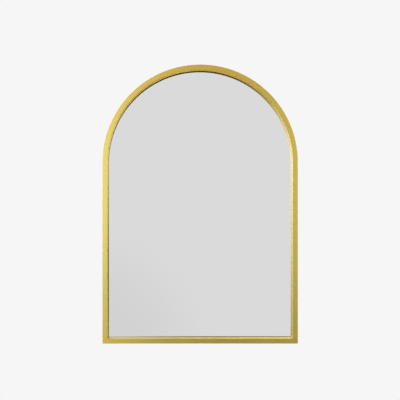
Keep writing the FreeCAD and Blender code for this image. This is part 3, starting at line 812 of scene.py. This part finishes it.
# %% Spin the bumpers
BUMPER_RADIUS = 4 * MM
STEM_RADIUS = 1.45 * MM
RIM_ROUNDING = 1 * MM
RIM_SEGMENTS = 5
BUMPER_STEPS = 32
BUMPER_SIDE = 60 * MM
BUMPER_ANGLE = math.radians(30)
stem_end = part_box("wall_bumpers")[0].y
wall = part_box("wall_bumpers")[1].y
port_radius = HALF_WIDTH - PORT_INSET
arch_x = port_radius * math.sin(BUMPER_ANGLE)
arch_z = port_radius * math.cos(BUMPER_ANGLE)
rail_x = HALF_WIDTH - BUMPER_SIDE
rail_z = BOTTOM + PORT_INSET
half_section = [
    (0, stem_end),
    (STEM_RADIUS, stem_end),
    (STEM_RADIUS, SEAT),
    (BUMPER_RADIUS, SEAT),
    (BUMPER_RADIUS, wall),
    (0, wall),
]
bm = bmesh.new()
for x, z in ((-rail_x, rail_z), (rail_x, rail_z), (-arch_x, arch_z), (arch_x, arch_z)):
    points = [bm.verts.new((x + radius, y, z)) for radius, y in half_section]
    edges = [bm.edges.new(pair) for pair in zip(points, points[1:])]
    bmesh.ops.spin(
        bm,
        geom=points + edges,
        cent=(x, 0, z),
        axis=(0, 1, 0),
        angle=math.tau,
        steps=BUMPER_STEPS,
        use_merge=True,
    )
bmesh.ops.remove_doubles(bm, verts=bm.verts, dist=STEM_RADIUS / 100)
bmesh.ops.recalc_face_normals(bm, faces=bm.faces)
rims = [e for e in corner_edges(bm) if lies_at(e, wall, RIM_ROUNDING / 2)]
round_edges(bm, rims, RIM_ROUNDING, RIM_SEGMENTS)
round_edges(bm, corner_edges(bm), EDGE_BREAK, BREAK_SEGMENTS)
make_piece(bm, "bumper_feet", "mirror", "wall_bumpers", [rubber])

# %% [markdown]
# ## Finishes for the CAD pieces
#
# Screws, keys, tape, film, foam, blocks and spacers keep their CAD shapes, which are right as they
# are. Each gets one of the finishes above in place of the plain material that it came with. A name in
# the list stands for all pieces whose names start with it.

# %% Give the CAD pieces their finishes
FINISHES = {
    "turn_button_screws": zinc,
    "hanger_screws": zinc,
    "setting_blocks": rubber,
    "edge_spacers": rubber,
    "glazing_tape": tape_foam,
    "foam_strips": pale_foam,
    "safety_film": film,
    "corner_key": cast_metal,
    "corner_grub_screws": black_steel,
}
for name, piece in nodes.items():
    for start, finish in FINISHES.items():
        if name.startswith(start):
            piece.data.materials.clear()
            piece.data.materials.append(finish)
print("CAD pieces with a new finish:", sum(name.startswith(tuple(FINISHES)) for name in nodes))

# %% [markdown]
# ## Floor
#
# The mirror hangs, so the floor lies well below it. It is a plain pale disc, and its rim fades out,
# so that no edge of it shows against the backdrop.

# %% Lay the floor
FLOOR_DROP = 0.8
FLOOR_RADIUS = 1.5
FADE_START = 0.5 * FLOOR_RADIUS
FLOOR_SIDES = 96
floor_finish, tree, shader = new_finish("pale_floor", Roughness=0.8)
place = add_node(tree, "TexCoord").outputs["Object"]
mottle = noise(tree, place, 30, detail=4)
floor_tones = [(0.70, 0.70, 0.69), (0.74, 0.74, 0.73)]
tree.links.new(ramp(tree, mottle, floor_tones), shader.inputs["Base Color"])
reach = add_node(tree, "VectorMath", {0: place, 1: (1, 1, 0)}, operation="MULTIPLY").outputs["Vector"]
radius = add_node(tree, "VectorMath", {0: reach}, operation="LENGTH").outputs["Value"]
inputs = {"Value": radius, "From Min": FADE_START, "From Max": FLOOR_RADIUS}
fade = add_node(tree, "MapRange", inputs, interpolation_type="SMOOTHSTEP").outputs["Result"]
clear = add_node(tree, "BsdfTransparent").outputs["BSDF"]
fading = add_node(tree, "MixShader", {0: fade, 1: shader.outputs["BSDF"], 2: clear})
tree.links.new(fading.outputs["Shader"], tree.nodes["Material Output"].inputs["Surface"])

bm = bmesh.new()
bmesh.ops.create_circle(bm, cap_ends=True, radius=FLOOR_RADIUS, segments=FLOOR_SIDES)
bmesh.ops.translate(bm, verts=bm.verts, vec=(0, 0, BOTTOM - FLOOR_DROP))
mesh = bpy.data.meshes.new("floor")
bm.to_mesh(mesh)
bm.free()
mesh.materials.append(floor_finish)
floor = bpy.data.objects.new("floor", mesh)
bpy.context.scene.collection.objects.link(floor)
print("The floor lies", FLOOR_DROP, "m below the rail")

# %% [markdown]
# ## Light: a tent of soft panels
#
# Shiny metal shows nothing but what stands around it, so it is photographed in a dark tent with a few
# panels of lit cloth. Here the world is the tent: each panel is a soft round glow in one direction.
# The left panel is the brightest and the coolest, so the left leg shines in a pale gold. The right one
# is weaker. The top of the arch faces the gap between them, with dim warm panels above it, so its gold
# is darker and richer, as in the photograph. The other panels light the sides, the top and the back.

# %% Hang the panels
world = bpy.data.worlds.new("light_tent")
world.use_nodes = True
bpy.context.scene.world = world
tent = world.node_tree
ray = add_node(tent, "TexCoord").outputs["Generated"]


def panel(azimuth, elevation, core, reach):
    """A soft glow: full within core degrees of its middle, and gone at reach.

    An azimuth of 0 is in front of the mirror, and 90 is to the right.
    """
    a = math.radians(azimuth)
    e = math.radians(elevation)
    middle = Vector((math.sin(a) * math.cos(e), -math.cos(a) * math.cos(e), math.sin(e)))
    facing = add_node(tent, "VectorMath", {0: ray, 1: middle}, operation="DOT_PRODUCT").outputs["Value"]
    gone = math.cos(math.radians(reach))
    full = math.cos(math.radians(core))
    inputs = {"Value": facing, "From Min": gone, "From Max": full}
    return add_node(tent, "MapRange", inputs, interpolation_type="SMOOTHSTEP").outputs["Result"]


def lit(light, colour, glow):
    """Adds a panel of a colour to the light so far."""
    inputs = {0: colour, "Scale": glow}
    shining = add_node(tent, "VectorMath", inputs, operation="SCALE").outputs["Vector"]
    return add_node(tent, "VectorMath", {0: light, 1: shining}, operation="ADD").outputs["Vector"]


PANELS = {
    "left": (panel(-22, 4.3, 3, 22), (2.28, 2.6, 3.7)),
    "right": (panel(30, 2, 5, 26), (1.0, 1.0, 1.25)),
    "far right": (panel(51, 5, 13, 44), (0.33, 0.42, 0.18)),
    "low left": (panel(-32, -26, 6, 28), (1.04, 0.84, 0.45)),
    "high left": (panel(-38, 32, 6, 28), (0.96, 0.84, 0.0)),
    "high front": (panel(0, 36, 5, 28), (0.44, 0.18, 0.0)),
    "high right": (panel(40, 30, 6, 28), (0.1, 0.19, 0.0)),
    "low front": (panel(0, -62, 10, 36), (0.9, 0.8, 0.55)),
    "top": (panel(0, 90, 20, 74), (0.82, 0.82, 0.82)),
    "left side": (panel(-100, 10, 10, 50), (1.0, 1.0, 1.0)),
    "right side": (panel(100, 10, 10, 50), (0.8, 0.8, 0.8)),
    "back left": (panel(-140, 35, 12, 55), (1.15, 1.15, 1.15)),
    "back right": (panel(140, 25, 12, 55), (0.95, 0.95, 0.95)),
    "back": (panel(180, 0, 15, 65), (0.5, 0.5, 0.5)),
}
NO_LIGHT = (0.0, 0.0, 0.0)
light = NO_LIGHT
for glow, colour in PANELS.values():
    light = lit(light, colour, glow)
print("Panels:", ", ".join(PANELS))

# %% [markdown]
# ## What the camera and the glass see
#
# The photograph was cut out on white, and its glass shows an even light grey, a shade darker at the
# lower left. The Light Path node tells camera rays and rays that left the mirror from all others, and
# shows them just that. The frame's inner walls stand square on the glass, so most of what they shine
# with comes to them by way of the glass, and beside each wall lies its image in the glass. Rays that
# met a wall and the glass have bounced twice, and they find panels of their own, with one colour for
# the wall and one for its image. So the right leg's wall is pale, and the arch's is as gold as the face
# and has its image as a dark line below it. Rays that left a matt surface always see the tent.

# %% Show each kind of ray its surroundings
BACKDROP = (0.922, 0.922, 0.922, 1)
MIRRORED = (0.742, 0.735, 0.739, 1)
MIRRORED_CORNER = (0.676, 0.669, 0.673, 1)
TWO_BOUNCES = 2.5  # the world lies at a ray depth of 2 after one bounce, and of 3 after two
WALL_PANELS = (  # each glow, with its colour for a wall and its colour for the wall's image
    (panel(-25, 6, 8, 29), (0.95, 1.05, 0.8), (0.92, 0.90, 0.6)),
    (panel(-60, 31, 20, 60), (1.45, 1.8, 4.6), (1.1, 1.5, 4.4)),
    (panel(45, 22, 10, 42), (0.7, 0.7, 1.1), (0.60, 0.66, 0.72)),
    (panel(12, 14, 3, 22), (1.5, 1.55, 0.73), (0.19, 0.05, 0.0)),
    (panel(-19, -20, 3, 20), (0.08, 0.0, 0.0), (0.07, 0.0, 0.0)),
    (panel(0, -42, 8, 34), (1.01, 0.95, 0.39), (0.0, 0.0, 0.0)),
    (panel(30, -30, 6, 26), (1.26, 1.08, 0.84), (0.0, 0.0, 0.0)),
    (panel(42, -10, 6, 28), (0.76, 0.74, 0.26), (0.0, 0.0, 0.0)),
    (panel(-30, -32, 6, 26), (0.58, 0.25, 0.0), (0.0, 0.0, 0.0)),
)
path = add_node(tent, "LightPath").outputs
inputs = {0: path["Ray Depth"], 1: TWO_BOUNCES}
deep = add_node(tent, "Math", inputs, operation="GREATER_THAN").outputs["Value"]
inputs = {0: deep, 1: path["Is Diffuse Ray"]}
second_bounce = add_node(tent, "Math", inputs, operation="SUBTRACT", use_clamp=True).outputs["Value"]
wall_light = NO_LIGHT
image_light = NO_LIGHT
for glow, on_wall, on_image in WALL_PANELS:
    wall_light = lit(wall_light, on_wall, glow)
    image_light = lit(image_light, on_image, glow)
lower_left = panel(-14, -19, 3, 19)
glass_view = mix_colours(tent, lower_left, MIRRORED, MIRRORED_CORNER)
first_seen = mix_colours(tent, path["Is Singular Ray"], light, glass_view)
second_seen = mix_colours(tent, path["Is Singular Ray"], image_light, wall_light)
around = mix_colours(tent, second_bounce, first_seen, second_seen)
seen = mix_colours(tent, path["Is Camera Ray"], around, BACKDROP)
tent.links.new(seen, tent.nodes["Background"].inputs["Color"])
bpy.context.scene.view_settings.view_transform = "Standard"
print("Backdrop:", BACKDROP[0], "and in the glass:", MIRRORED[0])

# %% [markdown]
# ## Camera
#
# The photograph looks straight at the mirror, from a little left of its middle and a little below it,
# so that the inner wall on the right shows wider than the one on the left, while the sides stay
# upright. The picture's scale follows from the mirror's width in it, and the distance from the scale
# and the lens. The camera stands where the picture was taken from, and a small lens shift, sideways
# and up, puts the mirror in its place in the picture.

# %% Set up the camera
PICTURE_SIZE = 400
MIRROR_WIDTH_PIXELS = 195.5
TOP_PIXEL = 64.4
MIRROR_COLUMN = 200.2
EYE_COLUMN = 178
EYE_ROW = 216
LENS = 40
SENSOR = 36
metres_per_pixel = 2 * HALF_WIDTH / MIRROR_WIDTH_PIXELS
distance = LENS / SENSOR * PICTURE_SIZE * metres_per_pixel
eye_side = (EYE_COLUMN - MIRROR_COLUMN) * metres_per_pixel
eye_height = frame_high.z - (EYE_ROW - TOP_PIXEL) * metres_per_pixel
lens = bpy.data.cameras.new("camera")
lens.lens = LENS
lens.sensor_width = SENSOR
camera = bpy.data.objects.new("camera", lens)
lens.shift_x = 0.5 - EYE_COLUMN / PICTURE_SIZE
lens.shift_y = EYE_ROW / PICTURE_SIZE - 0.5
camera.location = (eye_side, FRONT - distance, eye_height)
camera.rotation_euler = (math.radians(90), 0, 0)
bpy.context.scene.collection.objects.link(camera)
bpy.context.scene.camera = camera
print(f"Camera: {distance:.3f} m in front of the frame, at a height of {eye_height:.3f} m")
